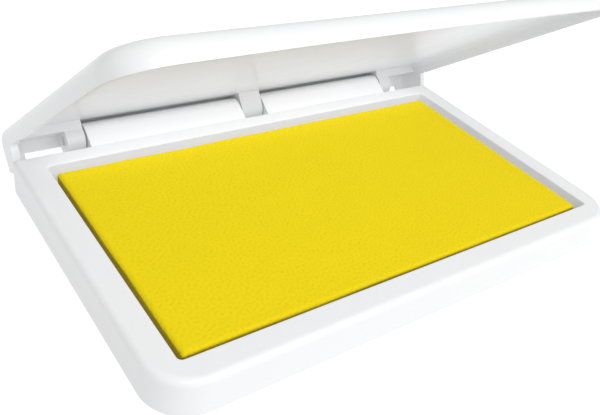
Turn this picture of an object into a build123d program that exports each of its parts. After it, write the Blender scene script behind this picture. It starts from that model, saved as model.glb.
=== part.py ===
from build123d import *
import os
from math import sqrt

# Hinged ink pad, in millimetres. X runs along the hinge, +Y points from the open edge to the
# hinge and +Z is up. The origin is on the underside, below the middle of the pad.
# The lid is written open, as it stands when the pad is in use.

# ---- driving dimensions ----
well_length = 90.4         # the well that holds the pad, along X
well_depth = 50.4          # and along Y
well_corner_radius = 0.8
well_mouth_radius = 0.25
pad_length = 88.0          # the pad stands a little clear of the walls of its well
pad_depth = 47.8
pad_below_rim = 0.8        # how far the inked face lies below the rim
cover_thickness = 0.5
pad_edge_radius = 0.8

rim_margin = 4.7           # flat rim beside the well, at the sides and the front
base_height = 7.6
lid_height = 3.85
parting_gap = 0.05         # between the closed lid and the rim
corner_radius = 7.5        # in plan
rim_edge_radius = 1.1
foot_edge_radius = 1.0
lid_edge_radius = 2.6

skirt_wall = 1.6
well_wall = 1.2
floor_thickness = 1.2
rib_wall = 1.0
rib_height = 5.2
rib_pitch = 18.0

lid_wall = 1.3
lid_plate = 1.2
lid_step_depth = 0.5       # the inner face steps out near the lid's mouth
lid_step_height = 0.9
lid_front_setback = 0.5
lid_side_setback = 0.15
lid_rear_corner_radius = 2.8
lid_front_arch = 0.3       # the front lip rises in the middle, for a fingertip
ceiling_radius = 1.2

hinge_y = 33.0
hinge_below_rim = 0.4
open_angle = 37.3
rear_wall_outer = 37.2
rear_wall_drop = 1.15      # rear wall of the lid, below the rim when closed
base_rear = 29.4
bar_radius = 2.6
bar_half = 35.9
web_thickness = 1.4
web_root = 1.0             # how far the web reaches into the tray
ear_radius = 4.1           # round lower end of each side wall of the lid, beside the tray
ear_inner = 46.2           # inner face of each ear, from the middle plane
lug_thickness = 3.4
centre_lug_half = 2.5
side_clearance = 0.35
swing_clearance = 0.3
shelf_height = 1.0         # underside of the lid's corner blocks, above the rim
block_front = 30.8
pin_radius = 1.0
pin_bore_clearance = 0.05
pin_length = 7.6
pin_recess = 0.4

# ---- worked-out dimensions ----
well_x = well_length / 2
well_y = well_depth / 2
half_length = well_x + rim_margin
lid_half_length = half_length - lid_side_setback
front_y = -(well_y + rim_margin)
hinge_z = base_height - hinge_below_rim
pad_top = base_height - pad_below_rim
lid_bottom = base_height + parting_gap
lid_top = lid_bottom + lid_height
ceiling_z = lid_top - lid_plate
cove_radius = ceiling_z - hinge_z
rear_wall_inner = rear_wall_outer - lid_wall
recess_radius = ear_radius + swing_clearance
lug_inner = bar_half + side_clearance
lug_outer = lug_inner + lug_thickness
notch_half = centre_lug_half + side_clearance


def plate(x0, x1, y0, y1, z0, z1):
    """An upright block between two corners."""
    return Pos((x0 + x1) / 2, (y0 + y1) / 2, (z0 + z1) / 2) * Box(x1 - x0, y1 - y0, z1 - z0)


def round_plan(x_half, y0, y1, front_radius, rear_radius):
    """A rectangle in plan, with one corner radius in front and another behind."""
    face = Pos(0, (y0 + y1) / 2) * Rectangle(2 * x_half, y1 - y0)
    middle = (y0 + y1) / 2
    front = [v for v in face.vertices() if v.Y < middle]
    rear = [v for v in face.vertices() if v.Y > middle]
    if front_radius:
        face = fillet(front, front_radius)
        rear = [v for v in face.vertices() if v.Y > y1 - 0.01]
    return fillet(rear, rear_radius) if rear_radius else face


def rod(radius, x0, x1, y=hinge_y, z=hinge_z):
    """A solid cylinder along X."""
    return Pos((x0 + x1) / 2, y, z) * Rot(0, 90, 0) * Cylinder(radius, x1 - x0)


def along_x(outline, x0, x1):
    """Extrudes a closed outline of (y, z) points along X."""
    points = [(0, y, z) for y, z in outline]
    face = make_face(Polyline(*points, close=True))
    return Pos(x0, 0, 0) * extrude(face, amount=x1 - x0, dir=(1, 0, 0))


def both_sides(solid):
    """The solid and its mirror image across the middle plane."""
    return [solid, mirror(solid, about=Plane.YZ)]


def make_base():
    """The tray: rounded skirt, flat rim, well for the pad, and the two halves of the hinge bar."""
    outer = extrude(round_plan(half_length, front_y, base_rear, corner_radius, 0.6), base_height)
    top_edges = outer.edges().filter_by_position(Axis.Z, base_height - 0.01, base_height + 0.01)
    rear_top = top_edges.filter_by_position(Axis.Y, base_rear - 0.05, base_rear + 0.05)
    outer = fillet([e for e in top_edges if e not in rear_top], rim_edge_radius)
    foot_edges = outer.edges().filter_by_position(Axis.Z, -0.01, 0.01)
    outer = fillet(foot_edges, foot_edge_radius)

    # The skirt and the walls of the well are thin, with a channel between them underneath.
    rear_inner = base_rear - recess_depth() - skirt_wall
    inside = extrude(round_plan(half_length - skirt_wall, front_y + skirt_wall, rear_inner,
                                corner_radius - skirt_wall, 0.5), base_height - skirt_wall)
    well_outer = plate(-well_x - well_wall, well_x + well_wall, -well_y - well_wall,
                       well_y + well_wall, 0, base_height)
    base = outer - (inside - well_outer)
    well = plate(-well_x, well_x, -well_y, well_y, floor_thickness, base_height + 1)
    well = fillet(well.edges().filter_by(Axis.Z), well_corner_radius)
    base -= well
    base = fillet(well_mouth_edges(base), well_mouth_radius)

    # Short ribs tie the skirt to the walls of the well.
    rib_z = (base_height - skirt_wall - rib_height, base_height - skirt_wall + 0.1)
    for step in range(-2, 3):
        x = step * rib_pitch
        base += plate(x - rib_wall / 2, x + rib_wall / 2, front_y + 1, -well_y - 0.5, *rib_z)
    for y in (-rib_pitch / 2, rib_pitch / 2):
        for side in both_sides(plate(well_x + 0.5, half_length - 1,
                                     y - rib_wall / 2, y + rib_wall / 2, *rib_z)):
            base += side

    # Room for the round ends of the lid to swing, then the bar with its web to the rim.
    base -= rod(recess_radius, -half_length - 1, half_length + 1)
    rim_back = hinge_y - sqrt(recess_radius**2 - hinge_below_rim**2)
    root = rim_back - web_root
    web = [(root, base_height - web_thickness), (root, base_height), (rim_back, base_height),
           bar_tangent(rim_back, base_height, 1), (hinge_y, hinge_z),
           bar_tangent(root, base_height - web_thickness, -1)]
    for half in both_sides(along_x(web, notch_half, bar_half) + rod(bar_radius, notch_half, bar_half)):
        base += half
    bore = rod(pin_radius + pin_bore_clearance, lug_outer - pin_length - pin_recess - 0.3, bar_half + 1)
    for hole in both_sides(bore):
        base -= hole
    return base


def recess_depth():
    """How far the round recess for the lid's ends cuts into the rear of the tray."""
    return base_rear - (hinge_y - recess_radius)


def well_mouth_edges(base):
    """The edges where the rim turns down into the well."""
    level = base.edges().filter_by_position(Axis.Z, base_height - 0.01, base_height + 0.01)
    return [e for e in level
            if abs(e.center().X) < well_x + 0.1 and abs(e.center().Y) < well_y + 0.1]


def bar_tangent(y, z, side):
    """Where a line from the point (y, z) touches the hinge bar: above it for side 1, below for -1."""
    dy, dz = hinge_y - y, hinge_z - z
    span = sqrt(dy**2 + dz**2)
    reach = sqrt(span**2 - bar_radius**2)
    cosine, sine = reach / span, side * bar_radius / span
    return (y + reach * (dy * cosine - dz * sine) / span, z + reach * (dy * sine + dz * cosine) / span)


def lid_plan(inset):
    """The lid's plan outline, moved inwards by a wall thickness."""
    return round_plan(lid_half_length - inset, front_y + lid_front_setback + inset,
                      rear_wall_outer - inset, corner_radius - inset,
                      lid_rear_corner_radius - inset)


def lid_shell():
    """The lid's cap: a plate with rounded edges and a thin wall, stepped inside at its mouth."""
    cap = Pos(0, 0, lid_bottom) * extrude(lid_plan(0), lid_height)
    cap = fillet(cap.edges().filter_by_position(Axis.Z, lid_top - 0.01, lid_top + 0.01),
                 lid_edge_radius)
    hollow = Pos(0, 0, lid_bottom - 1) * extrude(lid_plan(lid_wall), ceiling_z - lid_bottom + 1)
    roof = hollow.edges().filter_by_position(Axis.Z, ceiling_z - 0.01, ceiling_z + 0.01)
    hollow = fillet(roof, ceiling_radius)
    step_plan = lid_plan(lid_wall - lid_step_depth)
    step = Pos(0, 0, lid_bottom - 1) * extrude(step_plan, lid_step_height + 1)
    step -= plate(-half_length, half_length, hinge_y - ear_radius - 1.5, rear_wall_outer + 1,
                  lid_bottom - 2, lid_top)
    return cap - hollow - step


def make_lid():
    """The lid in its closed place: cap, rear wall, round ears, end lugs and centre lug."""
    lid = lid_shell()
    ring = Pos(0, 0, base_height - 8) * extrude(lid_plan(0) - lid_plan(lid_wall), 9)
    rear_zone = plate(-half_length, half_length, hinge_y, rear_wall_outer + 1,
                      base_height - rear_wall_drop, lid_bottom + 0.5)
    lid += ring & rear_zone
    ear_zone = rod(ear_radius, -half_length - 1, half_length + 1) + plate(
        -half_length - 1, half_length + 1, hinge_y - ear_radius, rear_wall_outer,
        hinge_z, lid_bottom + 0.5)
    ears = ring & ear_zone
    ears -= plate(-ear_inner, ear_inner, hinge_y - 8, rear_wall_outer + 1, 0, lid_top)
    lid += ears

    # Corner blocks and end lugs stand between the plate and the rear wall.
    block_x = lid_half_length - lid_wall + 0.3
    blocks = plate(-block_x, block_x, block_front, rear_wall_inner + 0.3,
                   base_height + shelf_height, ceiling_z + 0.3)
    blocks &= Pos(0, 0, lid_bottom) * extrude(lid_plan(0.4), lid_height - 0.4)
    blocks -= plate(-lug_inner, lug_inner, 0, 50, 0, 20)
    lid += blocks
    lug = rod(bar_radius, lug_inner, lug_outer)
    lug += plate(lug_inner, lug_outer, block_front, rear_wall_inner + 0.3,
                 hinge_z, ceiling_z + 0.3)
    for side in both_sides(lug):
        lid += side
    centre = rod(bar_radius, -centre_lug_half, centre_lug_half)
    centre += plate(-centre_lug_half, centre_lug_half, hinge_y - bar_radius,
                    rear_wall_inner + 0.3, hinge_z, ceiling_z + 0.3)
    lid += centre

    # A cove round the hinge bar joins the plate to the rear wall.
    cove = plate(-lug_inner - 0.5, lug_inner + 0.5, hinge_y, rear_wall_inner + 0.3,
                 hinge_z + cove_radius / 4, ceiling_z + 0.3)
    cove -= rod(cove_radius, -lug_inner - 1, lug_inner + 1)
    lid += cove

    for hole in both_sides(rod(pin_radius, lug_inner - 0.5, lug_outer + 0.5)):
        lid -= hole
    arch_radius = (half_length**2 + lid_front_arch**2) / (2 * lid_front_arch)
    arch = Pos(0, front_y + 2, lid_bottom + lid_front_arch - arch_radius) * Rot(90, 0, 0) * Cylinder(
        arch_radius, 5)
    return lid - arch


def opened(part):
    """Turns a piece of the lid about the hinge, from closed to the angle in use."""
    axis = Axis((0, hinge_y, hinge_z), (-1, 0, 0))
    return part.rotate(axis, open_angle)


def make_pin(side):
    """A plain pin from an end lug into the end of the hinge bar; side is -1 or 1."""
    outer_end = lug_outer - pin_recess
    pin = rod(pin_radius, outer_end - pin_length, outer_end)
    pin = chamfer(pin.edges(), 0.2)
    return pin if side > 0 else mirror(pin, about=Plane.YZ)


def make_felt():
    """The felt block that stores the ink, on the floor of the well."""
    x, y = pad_length / 2 - cover_thickness, pad_depth / 2 - cover_thickness
    felt = plate(-x, x, -y, y, floor_thickness, pad_top - cover_thickness)
    top = felt.edges().filter_by_position(Axis.Z, pad_top - cover_thickness - 0.01, pad_top)
    return fillet(top, pad_edge_radius - cover_thickness)


def make_cover(felt):
    """The cloth that wraps the felt's top and sides."""
    x, y = pad_length / 2, pad_depth / 2
    cover = plate(-x, x, -y, y, floor_thickness, pad_top)
    top = cover.edges().filter_by_position(Axis.Z, pad_top - 0.01, pad_top + 0.01)
    return fillet(top, pad_edge_radius) - felt


os.makedirs("parts", exist_ok=True)
ink_felt = make_felt()
nodes = {
    "base_tray": make_base(),
    "ink_felt": ink_felt,
    "pad_cover": make_cover(ink_felt),
    "lid": opened(make_lid()),
    "hinge_pin_left": opened(make_pin(-1)),
    "hinge_pin_right": opened(make_pin(1)),
}
for name, shape in nodes.items():
    export_step(shape, f"parts/{name}.step")
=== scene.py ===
from math import cos, pi, radians, sin

import bpy
import numpy as np
from mathutils import Matrix, Vector


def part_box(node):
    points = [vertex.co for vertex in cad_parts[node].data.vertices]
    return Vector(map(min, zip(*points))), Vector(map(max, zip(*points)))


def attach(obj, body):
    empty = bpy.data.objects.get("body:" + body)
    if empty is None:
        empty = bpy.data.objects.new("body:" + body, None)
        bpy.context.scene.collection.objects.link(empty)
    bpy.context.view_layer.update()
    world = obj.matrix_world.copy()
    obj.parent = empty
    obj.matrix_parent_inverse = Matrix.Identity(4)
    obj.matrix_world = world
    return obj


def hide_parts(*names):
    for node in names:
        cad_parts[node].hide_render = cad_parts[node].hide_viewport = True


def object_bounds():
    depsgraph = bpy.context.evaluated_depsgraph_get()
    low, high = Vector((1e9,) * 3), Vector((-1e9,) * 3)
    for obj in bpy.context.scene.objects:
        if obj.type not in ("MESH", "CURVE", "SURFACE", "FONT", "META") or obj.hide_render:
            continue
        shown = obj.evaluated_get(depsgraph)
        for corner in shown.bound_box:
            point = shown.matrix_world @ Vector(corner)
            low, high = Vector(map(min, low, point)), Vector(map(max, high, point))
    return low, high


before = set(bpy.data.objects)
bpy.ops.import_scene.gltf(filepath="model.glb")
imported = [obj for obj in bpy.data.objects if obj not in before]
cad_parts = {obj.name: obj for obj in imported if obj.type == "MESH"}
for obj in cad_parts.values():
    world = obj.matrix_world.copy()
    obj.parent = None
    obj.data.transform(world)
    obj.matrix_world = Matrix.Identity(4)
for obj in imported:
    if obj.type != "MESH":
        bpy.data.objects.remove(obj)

# Hinged ink pad: the moulded tray, lid and pins come from the frame and get their finish here,
# and the inked cloth of the pad is built here. Everything is in metres.

cad_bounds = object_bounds()
mm = 0.001
rim_height = 7.6 * mm           # flat rim of the tray, above the floor it stands on

# ---- camera ----
heading = radians(42.93)        # from +Y towards +X
look_down = radians(35.16)
roll = radians(11.56)
lens = 42.36
aim_from_middle = Vector((-7.28, -6.72, 0)) * mm
distance = 125.16 * mm
framing_shift = (-0.0444, 0.0126)
near_clip = 5 * mm

# ---- light ----
surround_strength = 0.66
floor_reach = 3.0               # half the side of the floor, in metres
floor_drop = 0.02 * mm          # the floor lies this far below the tray
floor_shade = 0.9
floor_glow = 0.45
lamp_target = (0, 0, 10 * mm)

# ---- pad cloth ----
cloth_thickness = 0.45 * mm
cloth_edge_radius = 0.8 * mm
cloth_corner_power = 7.0        # how square the cloth's corners are in plan
cloth_crown = 0.18 * mm
cloth_cell = 0.28 * mm          # spacing of the cloth's points on its top
cloth_field_cell = 0.2 * mm     # spacing of the random heights that shape its grain
cloth_sag_size = 17 * mm
grain_size = 0.85 * mm
grain_height = 0.016 * mm
sag_height = 0.05 * mm

# ---- colours, linear ----
case_cool = (0.905, 0.915, 0.930)
case_warm = (0.918, 0.920, 0.922)
ink_light = (0.930, 0.735, 0.008)
ink_deep = (0.850, 0.640, 0.004)
# painted shade: the dark olive that stands in for the shadow in the narrow gap between the cloth
# and the well's walls
painted_gap_shade = (0.350, 0.260, 0.012)
felt_light = (0.700, 0.520, 0.020)
felt_deep = (0.480, 0.340, 0.010)


class Value:
    """A number that varies over a surface. Arithmetic on it adds Math nodes."""

    def __init__(self, finish, socket):
        self.finish = finish
        self.socket = socket

    def math(self, operation, *others):
        inputs = {index: item for index, item in enumerate(others)}
        return self.finish.add("ShaderNodeMath", inputs, operation=operation).out(0)

    def __add__(self, other):
        return self.math("ADD", self, other)

    __radd__ = __add__

    def __mul__(self, other):
        return self.math("MULTIPLY", self, other)

    __rmul__ = __mul__

    def between(self, low, high):
        """0 below low, 1 above high, and a soft step from one to the other."""
        settings = {"interpolation_type": "SMOOTHSTEP"}
        inputs = {"Value": self, "From Min": low, "From Max": high}
        return self.finish.add("ShaderNodeMapRange", inputs, **settings).out("Result")


class Step:
    """One shader node, whose outputs are read by name or number."""

    def __init__(self, finish, node):
        self.finish = finish
        self.node = node

    def out(self, name=0):
        return Value(self.finish, self.node.outputs[name])


class Finish:
    """One material: its node tree and its surface shader."""

    def __init__(self, name, **surface):
        self.material = bpy.data.materials.new(name)
        self.material.use_nodes = True
        self.tree = self.material.node_tree
        self.surface = Step(self, self.tree.nodes["Principled BSDF"])
        self.place = self.add("ShaderNodeTexCoord").out("Object")
        for socket, value in surface.items():
            self.surface.node.inputs[socket.replace("_", " ")].default_value = value

    def add(self, kind, inputs=None, **settings):
        """A node of a kind, with its settings first and then its sockets' numbers or links."""
        node = self.tree.nodes.new(kind)
        for name, value in settings.items():
            setattr(node, name, value)
        self.connect(node, inputs or {})
        return Step(self, node)

    def connect(self, node, inputs):
        for name, value in inputs.items():
            if isinstance(value, Value):
                self.tree.links.new(value.socket, node.inputs[name])
            else:
                node.inputs[name].default_value = value

    def noise(self, size, detail=2.0, roughness=0.5):
        """Soft random variation with features about one size across, in metres."""
        inputs = {"Vector": self.place, "Scale": 1 / size, "Detail": detail,
                  "Roughness": roughness}
        return self.add("ShaderNodeTexNoise", inputs).out(0)

    def mix(self, factor, first, second):
        """A blend of two colours; factor 0 gives the first."""
        first, second = (c if isinstance(c, Value) else (*c, 1.0) for c in (first, second))
        step = self.add("ShaderNodeMix", data_type="RGBA")
        self.connect(step.node, {"Factor": factor, 6: first, 7: second})
        return step.out(2)

    def bump(self, height, depth, under=None):
        """A normal from a height between 0 and 1, where 1 stands depth metres proud."""
        inputs = {"Height": height, "Distance": depth, "Strength": 1.0}
        if under:
            inputs["Normal"] = under
        return self.add("ShaderNodeBump", inputs).out("Normal")

    def vary(self, **sockets):
        """Links what varies over the surface to the surface shader."""
        self.connect(self.surface.node, {k.replace("_", " "): v for k, v in sockets.items()})
        return self.material


def moulded_white(name, gloss):
    """Semi-gloss white moulding: faint cloudy tint, fine mould texture, uneven polish."""
    finish = Finish(name, Coat_Roughness=0.16, IOR=1.49)
    cloud = finish.noise(22 * mm, 2.0)
    polish = finish.noise(6 * mm, 3.0)
    texture = finish.noise(0.42 * mm, 1.0)
    waviness = finish.noise(9 * mm, 1.0)
    colour = finish.mix(cloud.between(0.3, 0.7), case_cool, case_warm)
    fine = finish.bump(texture, 0.006 * mm)
    normal = finish.bump(waviness, 0.05 * mm, under=fine)
    return finish.vary(Base_Color=colour, Roughness=gloss + 0.10 * polish,
                       Coat_Weight=0.18 + 0.14 * polish, Normal=normal)


def inked_cloth():
    """Fine cloth wet with ink: matte yellow, deeper in the hollows of its grain, with painted
    shade in dark olive where it rounds down into the gap by the well's walls.
    """
    finish = Finish("inked_cloth", Specular_IOR_Level=0.12)
    edge = finish.add("ShaderNodeAttribute", attribute_name="edge").out("Fac")
    hollow = finish.add("ShaderNodeAttribute", attribute_name="hollow").out("Fac")
    speck = finish.noise(0.35 * mm, 2.0)
    cloud = finish.noise(14 * mm, 2.0)
    depth = hollow.between(0.35, 1.0) * 0.8 + speck.between(0.5, 0.8) * 0.35 + 0.15 * cloud
    wet = finish.mix(depth, ink_light, ink_deep)
    # Painted shade: the cloth's edge turns dark olive where it rounds down into the gap, standing
    # in for the shadow there.
    colour = finish.mix(edge, wet, painted_gap_shade)
    wave_scale = 1 / (0.832 * mm)
    along, across = (
        finish.add("ShaderNodeTexWave", {"Vector": finish.place, "Scale": wave_scale,
                                         "Distortion": 2.2, "Detail Scale": 1.0},
                   bands_direction=direction).out("Fac")
        for direction in ("X", "Y"))
    weave = finish.bump(along * across, 0.012 * mm)
    normal = finish.bump(speck, 0.02 * mm, under=weave)
    return finish.vary(Base_Color=colour, Roughness=0.78 + 0.15 * speck, Normal=normal)


def soaked_felt():
    """Dense felt: short crossing fibres, darker where the ink has pooled."""
    finish = Finish("soaked_felt", Specular_IOR_Level=0.2)
    fibre = finish.noise(0.30 * mm, 6.0, 0.7)
    pool = finish.noise(11 * mm, 2.0)
    colour = finish.mix(fibre.between(0.35, 0.65) * 0.7 + 0.3 * pool, felt_light, felt_deep)
    return finish.vary(Base_Color=colour, Roughness=0.85 + 0.1 * fibre,
                       Normal=finish.bump(fibre, 0.08 * mm))


def smooth_noise(shape, cell, size, seed):
    """Random heights on a grid, kept to waves near one size, with a spread of 1."""
    waves = np.fft.rfft2(np.random.default_rng(seed).standard_normal(shape))
    across = np.fft.fftfreq(shape[0], cell)[:, None]
    along = np.fft.rfftfreq(shape[1], cell)[None, :]
    pitch = np.hypot(across, along) * size
    field = np.fft.irfft2(waves * np.exp(-((pitch - 1) / 0.35) ** 2), shape)
    return field / field.std()


def lookup(field, cell, x, y):
    """Heights read from a grid centred on the origin, in straight lines between its points."""
    u = x / cell + field.shape[0] / 2
    v = y / cell + field.shape[1] / 2
    i, j = np.floor(u).astype(int), np.floor(v).astype(int)
    a, b = u - i, v - j
    near = field[i, j] * (1 - b) + field[i, j + 1] * b
    far = field[i + 1, j] * (1 - b) + field[i + 1, j + 1] * b
    return near * (1 - a) + far * a


def developed_line(core, arc, drop):
    """Distances along the cloth from one hem to the other: side, edge curve, top, edge, side."""
    half_top = np.linspace(0, core, int(round(core / cloth_cell)) + 1)
    half_edge = core + np.linspace(0, arc, 10)[1:]
    half_side = core + arc + np.linspace(0, drop, 6)[1:]
    half = np.concatenate([half_top, half_edge, half_side])
    return np.concatenate([-half[:0:-1], half])


def pad_cloth():
    """The inked cloth, wrapped over the felt, with its hem on the floor of the well.

    A flat sheet is wrapped over a block. A point of the sheet beyond the block's flat top, by a
    distance s, goes round the edge as radius*sin(s/radius) outwards and radius*(1-cos(s/radius))
    down, and past a quarter turn it goes straight down. Grain and a slow sag move each point along
    its normal, and the top is crowned by a product of two parabolas.
    """
    low, high = (np.array(corner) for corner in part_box("pad_cover"))
    middle = (low + high) / 2
    half = (high - low) / 2
    radius = cloth_edge_radius
    core = half[:2] - radius
    arc = radius * pi / 2
    drop = high[2] - radius - low[2]
    lines = [developed_line(core[axis], arc, drop) for axis in (0, 1)]
    u, v = np.meshgrid(*lines, indexing="ij")

    beyond = np.stack([u - np.clip(u, -core[0], core[0]), v - np.clip(v, -core[1], core[1])])
    reach = np.abs(beyond).max(0)
    angle = np.arctan2(beyond[1], beyond[0])
    direction = np.stack([np.cos(angle), np.sin(angle)])
    square = (np.abs(direction) ** cloth_corner_power).sum(0)
    heading_out = direction / square ** (1 / cloth_corner_power)
    heading_out = np.where(reach > 0, heading_out, 0)
    turn = np.clip(reach / radius, 0, pi / 2)
    out = radius * np.sin(turn)
    down = radius * (1 - np.cos(turn)) + np.clip(reach - arc, 0, None)
    base = np.stack([np.clip(u, -core[0], core[0]), np.clip(v, -core[1], core[1])])
    place = np.stack([base[0] + out * heading_out[0], base[1] + out * heading_out[1],
                      half[2] - down])
    normal = np.stack([*(np.sin(turn) * direction), np.cos(turn)])

    cell = cloth_field_cell
    shape = [int(2 * line[-1] / cell) // 2 * 2 + 8 for line in lines]
    grain = lookup(smooth_noise(shape, cell, grain_size, 11), cell, u, v)
    pores = lookup(smooth_noise(shape, cell, grain_size * 0.55, 12), cell, u, v)
    sag = lookup(smooth_noise(shape, cell, cloth_sag_size, 13), cell, u, v)
    height = grain_height * (grain + 0.5 * pores) + sag_height * 0.5 * sag
    hem = np.clip((arc + drop - reach) / drop, 0, 1)
    place += normal * height * hem
    top = np.clip(1 - (u / core[0]) ** 2, 0, 1) * np.clip(1 - (v / core[1]) ** 2, 0, 1)
    place[2] += cloth_crown * top

    nx, ny = u.shape
    number = np.arange(nx * ny).reshape(nx, ny)
    quads = np.stack([number[:-1, :-1], number[1:, :-1], number[1:, 1:], number[:-1, 1:]], -1)
    ring = np.concatenate([number[:-1, 0], number[-1, :-1], number[:0:-1, -1], number[0, :0:-1]])
    points = [place.reshape(3, -1).T]
    faces = quads.reshape(-1, 4).tolist()

    # The inside of the cloth: up the walls, round the edge and flat under the top.
    flat_base = base.reshape(2, -1).T[ring]
    flat_out = heading_out.reshape(2, -1).T[ring]
    inner_radius = radius - cloth_thickness
    turns = np.linspace(pi / 2, 0.15, 5)
    steps = [(inner_radius, -half[2])]
    steps += [(inner_radius * sin(t), half[2] - radius + inner_radius * cos(t)) for t in turns]
    previous = ring
    for reach_out, level in steps:
        loop = np.c_[flat_base + reach_out * flat_out, np.full(len(ring), level)]
        current = np.arange(len(ring)) + sum(len(p) for p in points)
        points.append(loop)
        strip = np.stack([previous, current, np.roll(current, -1), np.roll(previous, -1)], -1)
        faces += strip.tolist()
        previous = current
    faces.append(previous[::-1].tolist())

    mesh = bpy.data.meshes.new("pad_cloth")
    mesh.from_pydata((np.concatenate(points) + middle).tolist(), [], faces)
    mesh.polygons.foreach_set("use_smooth", np.ones(len(mesh.polygons), bool))
    total = len(mesh.vertices)
    # Mask for the painted gap shade: it starts 60 degrees round the cloth's edge on the top and
    # covers the whole inside of the cloth.
    edge = np.zeros(total)
    edge[:nx * ny] = np.clip((turn - radians(60)) / radians(28), 0, 1).ravel()
    edge[nx * ny:] = 1
    hollow = np.full(total, 0.5)
    hollow[:nx * ny] = np.clip(0.5 - 0.22 * grain - 0.11 * pores, 0, 1).ravel()
    for name, values in (("edge", edge), ("hollow", hollow)):
        mesh.attributes.new(name, "FLOAT", "POINT").data.foreach_set("value", values)
    piece = bpy.data.objects.new("pad_cloth", mesh)
    bpy.context.scene.collection.objects.link(piece)
    mesh.materials.append(inked_cloth())
    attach(piece, "base")
    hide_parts("pad_cover")
    # The wet yellow throws no tint on the white mouldings around it.
    piece.visible_diffuse = piece.visible_glossy = False
    return piece


def dress(node, material):
    """Gives a CAD node one finish all over."""
    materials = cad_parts[node].data.materials
    materials.clear()
    materials.append(material)


def soft_box(name, place, target, size, power, reflected=True):
    """A rectangular lamp at a place, facing a target. It is not seen itself."""
    lamp = bpy.data.lights.new(name, "AREA")
    lamp.shape = "RECTANGLE"
    lamp.size, lamp.size_y = size
    lamp.energy = power
    box = bpy.data.objects.new(name, lamp)
    box.location = place
    box.rotation_euler = (Vector(target) - Vector(place)).to_track_quat("-Z", "Y").to_euler()
    box.visible_camera = False
    box.visible_glossy = reflected
    bpy.context.scene.collection.objects.link(box)
    return box


def card(name, place, target, size, shade):
    """A grey card, left out of the view, that darkens what faces it a little."""
    bpy.ops.mesh.primitive_plane_add(size=1)
    sheet = bpy.context.object
    sheet.name = name
    sheet.scale = (*size, 1)
    sheet.location = place
    sheet.rotation_euler = (Vector(target) - Vector(place)).to_track_quat("-Z", "Y").to_euler()
    finish = Finish(name, Roughness=1.0, Specular_IOR_Level=0.0)
    finish.surface.node.inputs["Base Color"].default_value = (shade, shade, shade, 1)
    sheet.data.materials.append(finish.material)
    sheet.visible_camera = False


def studio(cloth):
    """A white floor, an even surround, two soft boxes in front and two small fill lamps."""
    scene = bpy.context.scene
    scene.view_settings.view_transform = "Standard"
    world = bpy.data.worlds.new("surround")
    world.use_nodes = True
    surround = world.node_tree.nodes["Background"].inputs
    surround["Color"].default_value = (1, 1, 1, 1)
    surround["Strength"].default_value = surround_strength
    scene.world = world

    reach = floor_reach
    floor_mesh = bpy.data.meshes.new("floor")
    corners = [(-reach, -reach, 0), (reach, -reach, 0), (reach, reach, 0), (-reach, reach, 0)]
    floor_mesh.from_pydata(corners, [], [(0, 1, 2, 3)])
    floor = bpy.data.objects.new("floor", floor_mesh)
    floor.location.z = cad_bounds[0][2] - floor_drop
    finish = Finish("floor", Roughness=0.9, Specular_IOR_Level=0.1)
    surface = finish.surface.node.inputs
    surface["Base Color"].default_value = (floor_shade, floor_shade, floor_shade, 1)
    surface["Emission Color"].default_value = (1, 1, 1, 1)
    surface["Emission Strength"].default_value = floor_glow
    floor_mesh.materials.append(finish.material)
    bpy.context.scene.collection.objects.link(floor)
    floor.visible_diffuse = False

    soft_box("soft_box_high", (0.02, -0.48, 0.42), lamp_target, (0.7, 0.25), 1.95)
    soft_box("soft_box_low", (-0.10, -0.60, 0.14), lamp_target, (0.7, 0.20), 0.1)
    card("card_left", (-0.30, -0.02, 0.05), lamp_target, (0.30, 0.10), 0.5)

    # Two fills stand in for white light thrown back and forth between the open lid and the pad.
    # The first lights only the tray and the cloth, so it leaves no streak on the closed lid.
    under_lid = soft_box("fill_under_lid", (0, 0.0255, 0.0130), (0, 0.0275, 0.0045),
                         (0.090, 0.006), 0.0011, reflected=False)
    soft_box("fill_over_pad", (0, 0, 0.0085), (0, 0, 0.1), (0.086, 0.046), 0.0042,
             reflected=False)
    lit = bpy.data.collections.new("lit_under_lid")
    for piece in (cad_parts["base_tray"], cloth):
        lit.objects.link(piece)
    under_lid.light_linking.receiver_collection = lit


def camera():
    """Looks down at the open pad from the front left, a little tilted."""
    rim = Vector((0, 0, rim_height))
    level_right = Vector((cos(heading), -sin(heading), 0))
    ahead = Vector((sin(heading) * cos(look_down), cos(heading) * cos(look_down), -sin(look_down)))
    level_up = level_right.cross(ahead)
    right = cos(roll) * level_right + sin(roll) * level_up
    up = cos(roll) * level_up - sin(roll) * level_right
    lens_data = bpy.data.cameras.new("camera")
    lens_data.lens = lens
    lens_data.shift_x, lens_data.shift_y = framing_shift
    lens_data.clip_start = near_clip
    view = bpy.data.objects.new("camera", lens_data)
    turned = Matrix((right, up, -ahead)).transposed().to_4x4()
    view.matrix_world = Matrix.Translation(rim + aim_from_middle - ahead * distance) @ turned
    bpy.context.scene.collection.objects.link(view)
    bpy.context.scene.camera = view


camera()
for part, gloss in (("base_tray", 0.34), ("lid", 0.32)):
    dress(part, moulded_white(f"{part}_white", gloss))
pin_finish = moulded_white("pin_white", 0.24)
for side in ("left", "right"):
    dress(f"hinge_pin_{side}", pin_finish)
dress("ink_felt", soaked_felt())
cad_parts["ink_felt"].visible_diffuse = False
studio(pad_cloth())
